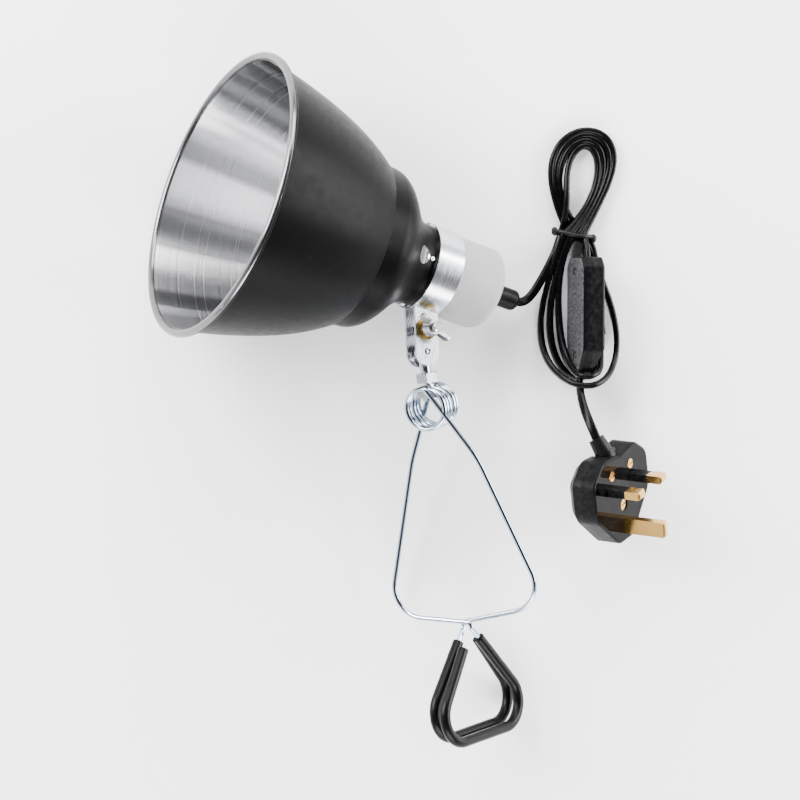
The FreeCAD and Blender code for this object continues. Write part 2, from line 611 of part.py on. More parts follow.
def switch_outline(shrink):
    """Plan of the switch: long sides, one blunt end and one tapered end."""
    half_width, half_length = SWITCH_WIDTH / 2 - shrink, SWITCH_LENGTH / 2 - shrink
    half = [(0, -half_length), (half_width - 3.5, -half_length), (half_width, -half_length + 5),
            (half_width, half_length - 12), (4.6 - shrink / 2, half_length), (0, half_length)]
    wire = mirrored_outline(half, [2.5, 4.0, 7.0, 1.8])
    wire.rotate(Vector(0, 0, 0), Vector(0, 0, 1), -90)
    return wire


def slope_cut(drop):
    """Prism over the cover's slope, lowered by drop."""
    x0, end_height = COVER_SLOPE
    x1, top = SWITCH_LENGTH / 2, SWITCH_DEPTH
    rise = (half_depth - end_height) / (x1 - x0)
    low_edge = [(x0 - 1, half_depth + rise - drop), (x1 + 1, end_height - rise - drop)]
    points = [Vector(x, -SWITCH_WIDTH, z) for x, z in low_edge + [(x1 + 1, top), (x0 - 1, top)]]
    return Part.Face(Part.makePolygon(points + points[:1])).extrude(Vector(0, 2 * SWITCH_WIDTH, 0))


def switch_half(low, high, outer_z):
    """Half of the housing, rounded round its outer face and hollow inside."""
    body = Part.Face(switch_outline(0)).extrude(Vector(0, 0, high - low))
    body.translate(Vector(0, 0, low))
    body = body.makeFillet(1.6, edges_at(body, outer_z))
    hollow = Part.Face(switch_outline(SWITCH_WALL)).extrude(Vector(0, 0, high - low - SWITCH_WALL))
    hollow.translate(Vector(0, 0, low if outer_z > 0 else low + SWITCH_WALL))
    if outer_z > 0:
        return body.cut(slope_cut(0)).cut(hollow.cut(slope_cut(SWITCH_WALL)))
    return body.cut(hollow)


half_depth = SWITCH_DEPTH / 2
inside = half_depth - SWITCH_WALL
end_wall = SWITCH_LENGTH / 2
lamp_side = Part.makeCylinder(CORD_WIDTH / 2, 8, Vector(-end_wall - 4, 0, 0), Vector(1, 0, 0))
plug_side = Part.makeCylinder(CORD_WIDTH / 2 + 0.3, 10, Vector(end_wall - 6, 0, LEAD_LEVEL), Vector(1, 0, 0))
pillars = [disc(2.6, -inside - 0.1, -0.02, (x, 0)) for x in SWITCH_SCREWS]
base = switch_half(-half_depth, -0.02, -half_depth).fuse(pillars).cut([lamp_side, plug_side])
for x in SWITCH_SCREWS:
    clearance = disc(1.25, -half_depth - 1, 1, (x, 0))
    base = base.cut([clearance, disc(2.2, -half_depth - 1, -half_depth + 1.6, (x, 0))])
save("switch_base", base.removeSplitter(), SWITCH)

pivot = Vector(ROCKER_AT, 0, ROCKER_PIVOT)
half_rocker = ROCKER_WIDTH / 2
posts = [disc(2.6, 0.0, inside + 0.1, (x, 0)).cut(slope_cut(0.4)) for x in SWITCH_SCREWS]
cover = switch_half(0.0, half_depth, half_depth).fuse(posts).cut(lamp_side)
collar = bar((ROCKER_AT, 0), (20.8, ROCKER_WIDTH + 3.8), inside, half_depth + 0.8)
window = bar((ROCKER_AT, 0), (2 * ROCKER_R + 1.0, ROCKER_WIDTH + 0.8), 0.5, SWITCH_DEPTH)
cover = cover.fuse(collar).cut(window)
cheeks = []
for y in (-half_rocker - 2.1, half_rocker + 0.4):
    cheeks.append(block(ROCKER_AT - 2.6, ROCKER_AT + 2.6, y, y + 1.7, 0.2, half_depth - 1))
bearing_start = pivot - Vector(0, half_rocker + 1.6, 0)
bearing = Part.makeCylinder(1.06, ROCKER_WIDTH + 3.2, bearing_start, Vector(0, 1, 0))
cover = cover.fuse(cheeks).cut(bearing)
for x in SWITCH_SCREWS:
    cover = cover.cut(disc(1.0, -1, 3.4, (x, 0)))
save("switch_cover", cover.removeSplitter(), SWITCH)

rocker = Part.makeCylinder(ROCKER_R, ROCKER_WIDTH, pivot - Vector(0, half_rocker, 0), Vector(0, 1, 0))
rocker = rocker.common(block(-20, 30, -10, 10, ROCKER_PIVOT - 1.0, half_depth + 2.2))
for side_of_pivot in (-1, 1):
    wedge = block(-14, 14, -10, 10, 0, 6)
    wedge.rotate(Vector(0, 0, 0), Vector(0, 1, 0), ROCKER_SWING * side_of_pivot)
    wedge.translate(Vector(ROCKER_AT + 8.0 * side_of_pivot, 0, half_depth + 2.0))
    half_of_top = block(*sorted((ROCKER_AT, ROCKER_AT + 20 * side_of_pivot)), -10, 10, 0, 20)
    rocker = rocker.cut(wedge.common(half_of_top))
pin = Part.makeCylinder(1.0, ROCKER_WIDTH + 2.6, pivot - Vector(0, half_rocker + 1.3, 0), Vector(0, 1, 0))
rocker = rocker.fuse(pin).removeSplitter()
rocker.rotate(pivot, Vector(0, 1, 0), -ROCKER_SWING)
save("switch_rocker", rocker, SWITCH)

contacts = []
for x in (-14.0, 12.0):
    strip = block(x - 4, x + 4, -3, 3, -inside + 0.02, -inside + 0.8)
    post = block(x - 1.6, x + 1.6, -2.4, 2.4, -inside + 0.8, -inside + 3.0)
    contacts.append(strip.fuse(post).removeSplitter())
save("switch_contacts", Part.makeCompound(contacts), SWITCH)
save("switch_bridge", block(-7.5, 7.5, -1.8, 1.8, -inside + 0.8, -inside + 1.3), SWITCH)
screws = []
for x in SWITCH_SCREWS:
    screw = disc(2.0, -half_depth + 0.2, -half_depth + 1.5, (x, 0))
    screw = screw.fuse(disc(0.95, -half_depth + 1.4, 2.5, (x, 0)))
    cross = block(x - 1.4, x + 1.4, -0.3, 0.3, -half_depth, -half_depth + 0.9)
    cross = cross.fuse(block(x - 0.3, x + 0.3, -1.4, 1.4, -half_depth, -half_depth + 0.9))
    screws.append(screw.cut(cross).removeSplitter())
save("switch_screws", Part.makeCompound(screws), SWITCH)

# ================================================== plug
PLUG = frame(PLUG_FACE, PIN_DIRECTION, EARTH_SIDE.cross(PIN_DIRECTION))
PLUG_DEPTH = BASE_DEPTH + COVER_DEPTH


def plug_slab(shrink, low, high):
    """Slice of the plug's shield-shaped outline, moved inwards by shrink, between two depths."""
    half = []
    for x, y in PLUG_OUTLINE:
        inset = -shrink if y > 25 else shrink if y < -12 else 0
        half.append((x - shrink if x else 0, y + inset))
    slab = Part.Face(mirrored_outline(half, PLUG_ROUNDS)).extrude(Vector(0, 0, high - low))
    slab.translate(Vector(0, 0, low))
    return slab


def pin_blank(size, at, low):
    """Rectangular pin with a chamfered tip."""
    blank = bar(at, size, low, size[2])
    return blank.makeChamfer(0.9, edges_at(blank, size[2]))


short_pins = {"live_pin": (-PIN_PITCH / 2, 0.0), "neutral_pin": (PIN_PITCH / 2, 0.0)}
earth_at = (0.0, EARTH_PITCH)
guard_lean = radians(GUARD_LEAN)
GUARD = frame(Vector(*GUARD_AT), Vector(0, -cos(guard_lean), -sin(guard_lean)), Vector(1, 0, 0))
guard_bore = placed(disc(5.3, -5.0, 8.0).fuse(disc(6.0, -0.1, 8.0)), GUARD)

plug_base = plug_slab(0, -BASE_DEPTH, 0)
plug_base = plug_base.makeFillet(1.2, edges_at(plug_base, 0))
plug_base = plug_base.cut(plug_slab(PLUG_WALL, -BASE_DEPTH - 1, -3.0)).cut(guard_bore)
for at in short_pins.values():
    plug_base = plug_base.cut(bar(at, LINE_PIN, -10, 10))
plug_base = plug_base.cut(bar(earth_at, EARTH_PIN, -10, 10))
for x in (-GRIP_SCREW[0], GRIP_SCREW[0]):
    screw_at = (x, GRIP_SCREW[1])
    plug_base = plug_base.cut([disc(1.6, -10, 1, screw_at), disc(2.5, -1.6, 1, screw_at)])
boss = disc(4.2, -BASE_DEPTH, -2.9, COVER_SCREW)
plug_base = plug_base.fuse(boss).cut(disc(1.9, -12, 1, COVER_SCREW)).cut(disc(3.2, -2.4, 1, COVER_SCREW))
save("plug_base", plug_base.removeSplitter(), PLUG)

back_wall = PLUG_WALL + 0.4
plug_cover = plug_slab(0, -PLUG_DEPTH, -BASE_DEPTH - 0.02)
plug_cover = plug_cover.makeChamfer(3.4, edges_at(plug_cover, -PLUG_DEPTH))
plug_cover = plug_cover.cut(plug_slab(PLUG_WALL, -PLUG_DEPTH + back_wall, -BASE_DEPTH + 1)).cut(guard_bore)
plug_cover = plug_cover.fuse(disc(3.6, -PLUG_DEPTH + back_wall - 0.5, -BASE_DEPTH - 0.04, COVER_SCREW))
save("plug_cover", plug_cover.cut(disc(1.5, SCREW_TIP - 0.3, 0, COVER_SCREW)).removeSplitter(), PLUG)

for name, at in short_pins.items():
    core_size = (LINE_PIN[0] - 0.9, LINE_PIN[1] - 0.9)
    pin = pin_blank(LINE_PIN, at, -5.5)
    waist = bar(at, (10, 10), -2.6, PIN_SLEEVE)
    head = bar(at, (8.4, 9.6), PIN_HEAD_LOW, PIN_HEAD_TOP)
    pin = pin.cut(waist).fuse([bar(at, core_size, -3.0, PIN_SLEEVE + 0.5), head])
    save(name, pin.removeSplitter(), PLUG)
    sleeve = bar(at, LINE_PIN, -2.58, PIN_SLEEVE - 0.02)
    bore = bar(at, (core_size[0] + 0.02, core_size[1] + 0.02), -4, 12)
    save(name + "_sleeve", sleeve.cut(bore), PLUG)
earth_head = block(-3.6, 3.6, EARTH_PITCH - 6.5, EARTH_PITCH + 4.2, PIN_HEAD_LOW, PIN_HEAD_TOP)
save("earth_pin", pin_blank(EARTH_PIN, earth_at, -5.5).fuse(earth_head).removeSplitter(), PLUG)


def along_plug(radius, y, length):
    """Cylinder along local Y in the fuse's place."""
    return Part.makeCylinder(radius, length, Vector(FUSE_AT[0], y, FUSE_AT[1]), Vector(0, 1, 0))


save("fuse_body", along_plug(2.8, -5.0, 13.4), PLUG)
save("fuse_caps", Part.makeCompound([along_plug(3.0, y, 3.0) for y in (-8.02, 8.42)]), PLUG)
clips = []
for y in (-7.6, 8.8):
    clip = bar((FUSE_AT[0], y + 1.1), (7.0, 2.2), FUSE_AT[1] - 2.0, FUSE_AT[1] + 3.2)
    clips.append(clip.cut(along_plug(3.02, y - 3, 8)).Solids[0])
save("fuse_clips", Part.makeCompound(clips), PLUG)

grip = bar((0, GRIP_SCREW[1]), (22.8, 3.2), -12.9, -11.2)
for x in (-GRIP_SCREW[0], GRIP_SCREW[0]):
    grip = grip.cut(disc(1.3, -20, 0, (x, GRIP_SCREW[1])))
save("cord_grip_bar", grip, PLUG)


def slotted_screw(at, head_r, shank_r, top, head_height):
    """Cheese-head screw along local Z with a driver slot."""
    screw = disc(head_r, top - head_height, top, at).fuse(disc(shank_r, SCREW_TIP, top - head_height, at))
    slot = block(at[0] - head_r - 1, at[0] + head_r + 1, at[1] - 0.35, at[1] + 0.35, top - 0.7, top + 1)
    return screw.cut(slot).removeSplitter()


screws = [slotted_screw((x, GRIP_SCREW[1]), 2.4, 1.25, 0.35, 1.9) for x in (-GRIP_SCREW[0], GRIP_SCREW[0])]
save("cord_grip_screws", Part.makeCompound(screws), PLUG)
save("cover_screw", slotted_screw(COVER_SCREW, 3.0, 1.45, -0.6, 1.75), PLUG)

guard = Part.makeCone(4.9, 4.0, GUARD_LENGTH).fuse([disc(5.25, -4.0, 0.02), disc(5.9, 0.0, 1.4)])
lead_bore = disc(CORD_WIDTH / 2, -6, GUARD_LENGTH - 1.5)
lead_bore = lead_bore.fuse(disc(CORD_WIDTH / 2 + 0.3, GUARD_LENGTH - 1.6, 20))
save("lead_guard", guard.cut(lead_bore).removeSplitter(), PLUG.multiply(GUARD))

guard_line = PLUG.multiply(GUARD)
print("lead guard end", guard_line.multVec(Vector(0, 0, GUARD_LENGTH)), "towards",
      guard_line.Rotation.multVec(Vector(0, 0, 1)))
print("gland tip", LAMP.multVec(Vector(0, 0, GLAND_TIP)), "axis", lamp_axis)

boxes = {name: shape.BoundBox for name, shape in NODES.items()}
print("lowest", sorted((round(box.ZMin, 2), name) for name, box in boxes.items())[:10])
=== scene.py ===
import bpy
import json
from math import cos, exp, pi, radians, sin, tau
from mathutils import Matrix, Vector

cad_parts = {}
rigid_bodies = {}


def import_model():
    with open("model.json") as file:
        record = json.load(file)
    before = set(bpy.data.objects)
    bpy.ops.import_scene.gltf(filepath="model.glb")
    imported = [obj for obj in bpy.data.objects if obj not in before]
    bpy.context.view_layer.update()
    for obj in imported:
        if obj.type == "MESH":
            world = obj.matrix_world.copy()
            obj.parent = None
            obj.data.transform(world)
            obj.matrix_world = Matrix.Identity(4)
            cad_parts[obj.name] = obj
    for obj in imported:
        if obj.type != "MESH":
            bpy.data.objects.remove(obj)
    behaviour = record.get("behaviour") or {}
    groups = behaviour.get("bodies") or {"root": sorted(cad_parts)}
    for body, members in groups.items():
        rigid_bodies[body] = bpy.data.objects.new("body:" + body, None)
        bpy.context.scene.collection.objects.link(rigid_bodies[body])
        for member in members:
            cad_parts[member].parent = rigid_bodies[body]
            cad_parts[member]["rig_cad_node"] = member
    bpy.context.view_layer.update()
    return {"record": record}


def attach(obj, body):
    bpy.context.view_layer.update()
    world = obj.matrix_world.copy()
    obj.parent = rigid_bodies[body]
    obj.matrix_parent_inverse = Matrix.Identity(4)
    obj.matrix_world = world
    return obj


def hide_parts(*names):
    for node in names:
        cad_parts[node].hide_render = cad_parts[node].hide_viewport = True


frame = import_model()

MM = 0.001

# ---------------------------------------------------------------- the lamp's own frame, as in the CAD
RIM_CENTRE = Vector((-61.5, 100.9, 67.88))      # centre of the open rim
HEADING, DROOP, BRACKET_ROLL = radians(-18.8), radians(19.34), radians(13.2)
AXIS = Vector((cos(DROOP) * cos(HEADING), cos(DROOP) * sin(HEADING), -sin(DROOP)))
SIDE = Vector((sin(HEADING), -cos(HEADING), 0))
RADIAL = SIDE * cos(BRACKET_ROLL) + SIDE.cross(AXIS) * sin(BRACKET_ROLL)
ACROSS = AXIS.cross(RADIAL)
BEAD_BACK = 0.0006                              # the bead is bare up to here behind the rim, in metres
THREAD_PITCH = 0.00363                          # the lamp thread's pitch, in metres
SWITCH_FLAT = Vector((-0.985, 0.0024, 0.1736))  # outwards from the switch's plain side
PLUG_FACE_OUT = Vector((0.7597, -0.068, 0.6467))  # along the plug's pins

# ---------------------------------------------------------------- the lead, as in the CAD
LEAD_IN = [
    (87.3, 50.24, 12.85), (90.16, 49.27, 11.8), (93.2, 49.6, 10.6), (96.0, 51.4, 9.4), (98.7, 54.3, 8.1),
    (101.8, 58.8, 6.6), (105.0, 63.9, 5.0), (108.0, 69.3, 3.7), (110.5, 74.3, 2.9)]
TAIL = [
    (120.9, 16.9, 13.7), (120.8, 11.9, 14.1), (120.8, 7.1, 15.6), (121.1, 2.6, 17.9), (121.6, -1.6, 20.6),
    (122.6, -5.9, 23.3), (124.0, -10.3, 25.7), (125.7, -14.9, 27.5), (127.5, -19.4, 28.3)]
TIE_AT = Vector((119.3, 83.1, 0))
TIE_ROUNDS, TIE_SIDES, TIE_RADIUS = 48, 10, 1.0
UPPER_HEADING, LOWER_HEADING = radians(82.0), radians(-86.6)
SWITCH_TOP = (124.7, 69.8, 13.2)                # where the lead enters the switch
CORD_WIDTH, CORD_THICK = 4.6, 3.1
CORE_STEPS, CORE_SPAN = 4, 72                   # a core's outline: steps and degrees each side of its middle
LOW, HIGH = 2.45, 7.2                           # heights of the strands' two layers
LOOP_POINTS = 16                                # control points of one loop
TIE_EASE = 1.5                                  # part of a turn, in radians, that a loop takes to leave the tie
TEARDROP_PEAK = 0.77                            # widest share of a teardrop loop before it is scaled to 1
WAIST_HUMP, TAIL_HUMP = 4.9, 18.6               # how far a strand climbs over the waist and over the tail


# ================================================================ meshes
def mesh_object(name, vertices, faces):
    """New smooth-shaded object from vertices in millimetres."""
    mesh = bpy.data.meshes.new(name)
    mesh.from_pydata([tuple(c * MM for c in v) for v in vertices], [], faces)
    mesh.validate()
    for polygon in mesh.polygons:
        polygon.use_smooth = True
    made = bpy.data.objects.new(name, mesh)
    bpy.context.scene.collection.objects.link(made)
    return made


# ================================================================ cords
def route(name, points):
    """Curve whose one smooth spline has these control points, in millimetres."""
    curve = bpy.data.curves.new(name, "CURVE")
    curve.dimensions = "3D"
    curve.resolution_u = 10
    spline = curve.splines.new("NURBS")
    spline.points.add(len(points) - 1)
    for point, (x, y, z) in zip(spline.points, points):
        point.co = (x * MM, y * MM, z * MM, 1)
    spline.order_u = 3
    spline.use_endpoint_u = True
    guide = bpy.data.objects.new(name, curve)
    bpy.context.scene.collection.objects.link(guide)
    bpy.context.view_layer.update()
    traced = bpy.data.meshes.new_from_object(guide)
    path = [v.co.copy() for v in traced.vertices]
    bpy.data.meshes.remove(traced)
    bpy.data.objects.remove(guide)
    return path


def length_of(path):
    """Length of a path in metres."""
    return sum((b - a).length for a, b in zip(path, path[1:]))


def twin_section():
    """Outline of a flat twin lead: two round cores joined by a web, as (across, up)."""
    outline = []
    core = CORD_THICK / 2
    reach = CORD_WIDTH / 2 - core
    for centre, middle in ((reach, 0), (-reach, 180)):
        for step in range(-CORE_STEPS, CORE_STEPS + 1):
            angle = radians(middle + step * CORE_SPAN / CORE_STEPS)
            outline.append((centre + core * cos(angle), core * sin(angle)))
    return outline


def flat_lead(name, path, roll_at):
    """Flat twin lead along a path; roll_at gives how far it stands on edge, in degrees, at each length."""
    section = twin_section()
    count = len(section)
    vertices, faces = [], []
    travelled = 0.0
    total = length_of(path)
    for i, at in enumerate(path):
        before, after = path[max(i - 1, 0)], path[min(i + 1, len(path) - 1)]
        along = (after - before).normalized()
        level = Vector((0, 0, 1)).cross(along).normalized()
        up = along.cross(level)
        if i:
            travelled += (at - path[i - 1]).length
        roll = radians(roll_at(travelled / total))
        wide = level * cos(roll) + up * sin(roll)
        thick = up * cos(roll) - level * sin(roll)
        for across, rise in section:
            vertices.append(at / MM + wide * across + thick * rise)
        if i:
            base = (i - 1) * count
            for j in range(count):
                k = (j + 1) % count
                faces.append((base + j, base + k, base + count + k, base + count + j))
    faces.append(tuple(reversed(range(count))))
    faces.append(tuple(range(len(vertices) - count, len(vertices))))
    return mesh_object(name, vertices, faces)


def smooth_step(x):
    """0 below 0, 1 above 1, smooth between."""
    x = max(0.0, min(1.0, x))
    return x * x * (3 - 2 * x)


def strand_loop(heading, size, out_at, back_at, height, taper=(1.0, 1.0)):
    """One loop of the hank from the tie and back to it.

    size is its length and its reach on its way out and on its way back; out_at and back_at are its places
    across the tie with their heights; height gives the height of the loop itself at each part of a turn; and
    taper says how each side narrows to the tie: 1 is a teardrop and 0 a full oval.
    """
    length, out_width, back_width = size
    along = Vector((cos(heading), sin(heading), 0))
    right = Vector((1, 0, 0))
    points = []
    for i in range(LOOP_POINTS + 1):
        t = tau * i / LOOP_POINTS
        going_back = t > pi
        narrow = taper[1] if going_back else taper[0]
        width = back_width if going_back else -out_width
        share = abs(sin(t)) ** (0.45 + 0.55 * narrow) * sin(t / 2) ** narrow
        if narrow > 0.5:
            share /= TEARDROP_PEAK
        near_out = 1 - smooth_step(t / TIE_EASE)
        near_back = smooth_step((t - tau + TIE_EASE) / TIE_EASE)
        sideways = width * share + out_at[0] * near_out + back_at[0] * near_back
        level = height(t / tau) * (1 - near_out - near_back) + out_at[1] * near_out + back_at[1] * near_back
        place = TIE_AT + along * (length * (1 - cos(t)) / 2) + right * sideways
        points.append((place.x, place.y, level))
    return points


def over_waist(turn):
    """Height of a strand that climbs over the waist soon after it leaves the tie."""
    return LOW + WAIST_HUMP * exp(-((turn - 0.20) / 0.10) ** 2)


def on_floor(turn):
    """Height of a strand that stays on the floor."""
    return LOW


def over_tail(turn):
    """Height of a strand that climbs over the tail at the far end of its loop."""
    return LOW + TAIL_HUMP * exp(-((turn - 0.5) / 0.11) ** 2)


def hank_route():
    """Control points of the lead from the gland to the switch: four upper loops and three lower ones."""
    up_places = [-6.0, 6.0, 2.0, -2.0]
    down_places = [-6.0, -2.0, 2.0, 5.0]
    upper = [
        ((45.4, 7.5, 8.6), over_waist),
        ((48.0, 11.0, 11.0), on_floor),
        ((50.8, 13.6, 13.9), on_floor),
        ((53.3, 16.2, 16.4), on_floor)]
    lower = [
        ((76.3, 19.8, 20.0), over_tail, (1.0, 1.0)),
        ((72.6, 14.2, 11.6), on_floor, (0.9, 0.0)),
        ((71.6, 10.4, 11.8), over_tail, (0.3, 0.0))]
    points = list(LEAD_IN)
    for i, (size, height) in enumerate(upper):
        up, down = (up_places[i], LOW), (down_places[i], HIGH)
        loop = strand_loop(UPPER_HEADING, size, up, down, height)
        points += loop if i == 0 else loop[1:]
        if i < len(lower):
            size, height, taper = lower[i]
            points += strand_loop(LOWER_HEADING, size, down, (up_places[i + 1], LOW), height, taper)[1:]
    return points + [(124.6, 79.0, 9.0), (124.7, 74.8, 11.6), SWITCH_TOP]


def lead_roll(share):
    """Flat where it leaves the gland, on edge in the hank, wavering a little."""
    on_edge = smooth_step((share - 0.02) / 0.05) * (1 - 0.5 * smooth_step((share - 0.985) / 0.015))
    return 14 + on_edge * (70 + 9 * sin(share * 47) + 6 * sin(share * 113 + 1))


def tail_roll(share):
    """On edge at the switch, turning flat before the plug."""
    return 72 - 58 * smooth_step((share - 0.15) / 0.7)


def tie_band(vertices, faces):
    """Twisted band of the tie, closed round the waist."""
    for i in range(TIE_ROUNDS):
        turn = tau * i / TIE_ROUNDS
        reach = 9.1 * (1 + 0.06 * cos(4 * turn))
        slant = -1.5 * cos(turn) + 0.35 * sin(3 * turn)
        centre = TIE_AT + Vector((reach * cos(turn), slant, 5.85 + 4.7 * sin(turn)))
        outwards = Vector((cos(turn), 0, sin(turn)))
        for j in range(TIE_SIDES):
            angle = tau * j / TIE_SIDES
            radius = TIE_RADIUS * (1 + 0.07 * sin(9 * turn + 2 * angle))
            vertices.append(centre + outwards * (radius * cos(angle)) + Vector((0, radius * sin(angle), 0)))
        row, after = i * TIE_SIDES, (i + 1) % TIE_ROUNDS * TIE_SIDES
        for j in range(TIE_SIDES):
            k = (j + 1) % TIE_SIDES
            faces.append((row + j, row + k, after + k, after + j))


def tie_knot(vertices, faces, place, reach, phase):
    """One lumpy knotted end of the tie."""
    rows, sides = 7, 12
    start = len(vertices)
    for i in range(rows):
        polar = pi * (i + 0.5) / rows
        for j in range(sides):
            angle = tau * j / sides
            size = reach * (1 + 0.08 * sin(3 * angle + 5 * polar + phase))
            flat = size * sin(polar)
            lump = Vector((flat * cos(angle), 1.25 * size * cos(polar), flat * sin(angle)))
            vertices.append(TIE_AT + Vector(place) + lump)
    for row in range(start, start + (rows - 1) * sides, sides):
        for j in range(sides):
            k = (j + 1) % sides
            faces.append((row + j, row + sides + j, row + sides + k, row + k))
    faces.append(tuple(range(start, start + sides)))
    faces.append(tuple(reversed(range(len(vertices) - sides, len(vertices)))))


def tie_ring():
    """Twist tie round the waist of the hank, with its two knotted ends."""
    vertices, faces = [], []
    tie_band(vertices, faces)
    tie_knot(vertices, faces, (-9.9, 1.7, 7.4), 1.75, 0)
    tie_knot(vertices, faces, (9.9, -1.9, 6.6), 1.7, 1)
    return mesh_object("twist_tie", vertices, faces)


# ================================================================ materials
class Recipe:
    """A node material being put together."""

    def __init__(self, name):
        self.material = bpy.data.materials.new(name)
        self.material.use_nodes = True
        self.nodes = self.material.node_tree.nodes
        self.links = self.material.node_tree.links
        self.shader = self.nodes["Principled BSDF"]
        place = self.nodes.new("ShaderNodeTexCoord")
        self.coordinates, self.normal = place.outputs["Object"], place.outputs["Normal"]

    def put(self, socket, value):
        """Link an output, or set a plain value, on the shader."""
        target = self.shader.inputs[socket]
        if isinstance(value, bpy.types.NodeSocket):
            self.links.new(value, target)
        else:
            target.default_value = value

    def noise(self, scale, detail=4.0, rough=0.55, stretch=None):
        """Noise in object space, in features per metre, stretched along an axis if asked."""
        node = self.nodes.new("ShaderNodeTexNoise")
        node.inputs["Scale"].default_value = scale
        node.inputs["Detail"].default_value = detail
        node.inputs["Roughness"].default_value = rough
        source = self.coordinates
        if stretch:
            mapping = self.nodes.new("ShaderNodeMapping")
            mapping.inputs["Scale"].default_value = stretch
            self.links.new(source, mapping.inputs["Vector"])
            source = mapping.outputs["Vector"]
        self.links.new(source, node.inputs["Vector"])
        return node.outputs["Fac"]

    def spread(self, fac, low, high, from_low=0.0, from_high=1.0):
        """Map a value from one range to another."""
        node = self.nodes.new("ShaderNodeMapRange")
        node.inputs["From Min"].default_value = from_low
        node.inputs["From Max"].default_value = from_high
        node.inputs["To Min"].default_value = low
        node.inputs["To Max"].default_value = high
        self.links.new(fac, node.inputs["Value"])
        return node.outputs["Result"]

    def math(self, operation, a, b=None):
        """One math node on outputs or numbers."""
        node = self.nodes.new("ShaderNodeMath")
        node.operation = operation
        for socket, value in zip(node.inputs, (a, b)):
            if isinstance(value, bpy.types.NodeSocket):
                self.links.new(value, socket)
            elif value is not None:
                socket.default_value = value
        return node.outputs[0]

    def mix(self, fac, a, b):
        """Mix two colours."""
        node = self.nodes.new("ShaderNodeMix")
        node.data_type = "RGBA"
        for socket, value in ((node.inputs[0], fac), (node.inputs[6], a), (node.inputs[7], b)):
            if isinstance(value, bpy.types.NodeSocket):
                self.links.new(value, socket)
            else:
                socket.default_value = value if isinstance(value, float) else (*value, 1)
        return node.outputs[2]

    def bump(self, height, distance, strength=1.0):
        """Bump from a height output, with its depth in metres."""
        node = self.nodes.new("ShaderNodeBump")
        node.inputs["Distance"].default_value = distance
        node.inputs["Strength"].default_value = strength
        self.links.new(height, node.inputs["Height"])
        self.put("Normal", node.outputs["Normal"])

    def vector(self, operation, a, b):
        """One vector math node on outputs or constants."""
        node = self.nodes.new("ShaderNodeVectorMath")
        node.operation = operation
        for socket, value in zip(node.inputs, (a, b)):
            if isinstance(value, bpy.types.NodeSocket):
                self.links.new(value, socket)
            else:
                socket.default_value = tuple(value)
        return node.outputs["Value" if operation == "DOT_PRODUCT" else "Vector"]

    def dot(self, a, b):
        """Dot product of two vectors."""
        return self.vector("DOT_PRODUCT", a, b)

    def scaled(self, colour, factor):
        """Colour or vector times a value."""
        node = self.nodes.new("ShaderNodeVectorMath")
        node.operation = "SCALE"
        node.inputs[0].default_value = colour
        self.links.new(factor, node.inputs["Scale"])
        return node.outputs["Vector"]

    def blend_values(self, fac, a, b):
        """Mix two values."""
        node = self.nodes.new("ShaderNodeMix")
        for socket, value in zip(node.inputs[:4], (fac, None, a, b)):
            if isinstance(value, bpy.types.NodeSocket):
                self.links.new(value, socket)
            elif value is not None:
                socket.default_value = value
        return node.outputs[0]

    def lamp_place(self):
        """Distance behind the shade's rim, in metres, and the unit vector away from the lamp's axis."""
        from_rim = self.vector("SUBTRACT", self.coordinates, RIM_CENTRE * MM)
        station = self.dot(from_rim, AXIS)
        radial = self.vector("SUBTRACT", from_rim, self.scaled(AXIS, station))
        unit = self.nodes.new("ShaderNodeVectorMath")
        unit.operation = "NORMALIZE"
        self.links.new(radial, unit.inputs[0])
        return station, unit.outputs["Vector"]

    def noise_at(self, place, scale, detail):
        """Noise at a vector other than the place on the object."""
        node = self.nodes.new("ShaderNodeTexNoise")
        node.inputs["Scale"].default_value = scale
        node.inputs["Detail"].default_value = detail
        self.links.new(place, node.inputs["Vector"])
        return node.outputs["Fac"]

    def rings(self, station, per_metre):
        """Noise in rings round the lamp's axis."""
        place = self.nodes.new("ShaderNodeCombineXYZ")
        self.links.new(station, place.inputs["X"])
        return self.noise_at(place.outputs["Vector"], per_metre, 3)

    def turning_tangent(self, radial):
        """Point the shader's tangent round the lamp's axis."""
        around = self.vector("CROSS_PRODUCT", AXIS, radial)
        turn = self.nodes.new("ShaderNodeVectorTransform")
        turn.vector_type = "VECTOR"
        turn.convert_from, turn.convert_to = "OBJECT", "WORLD"
        self.links.new(around, turn.inputs[0])
        self.links.new(turn.outputs[0], self.shader.inputs["Tangent"])

    def edge_wear(self, low=0.52, high=0.60):
        """Mask that is 1 on sharp outer edges."""
        geometry = self.nodes.new("ShaderNodeNewGeometry")
        return self.spread(geometry.outputs["Pointiness"], 0.0, 1.0, low, high)


def plastic(name, colour, rough, grain=2200, depth=0.00001, level=0.4, worn_edges=0.0, spread=0.06):
    """Moulded or sprayed surface: fine grain, uneven gloss, faint rubs and, on sharp edges, light wear."""
    r = Recipe(name)
    tone = r.spread(r.noise(900, 5), 0.86, 1.16, 0.3, 0.7)
    base = r.scaled(colour, tone)
    rubs = r.math("MULTIPLY", r.spread(r.noise(140, 6, 0.65, (1, 5, 1)), 0, 1, 0.60, 0.72), 0.012)
    base = r.mix(rubs, base, (0.12, 0.12, 0.12))
    if worn_edges:
        edge = r.math("MULTIPLY", r.edge_wear(), r.spread(r.noise(500, 3), 0.0, worn_edges, 0.4, 0.8))
        base = r.mix(edge, base, (0.05, 0.05, 0.052))
    r.put("Base Color", base)
    r.put("Roughness", r.spread(r.noise(260, 6, 0.6), rough - spread, rough + spread, 0.3, 0.7))
    r.put("Specular IOR Level", level)
    r.bump(r.noise(grain, 4, 0.6), depth, 0.7)
    return r.material


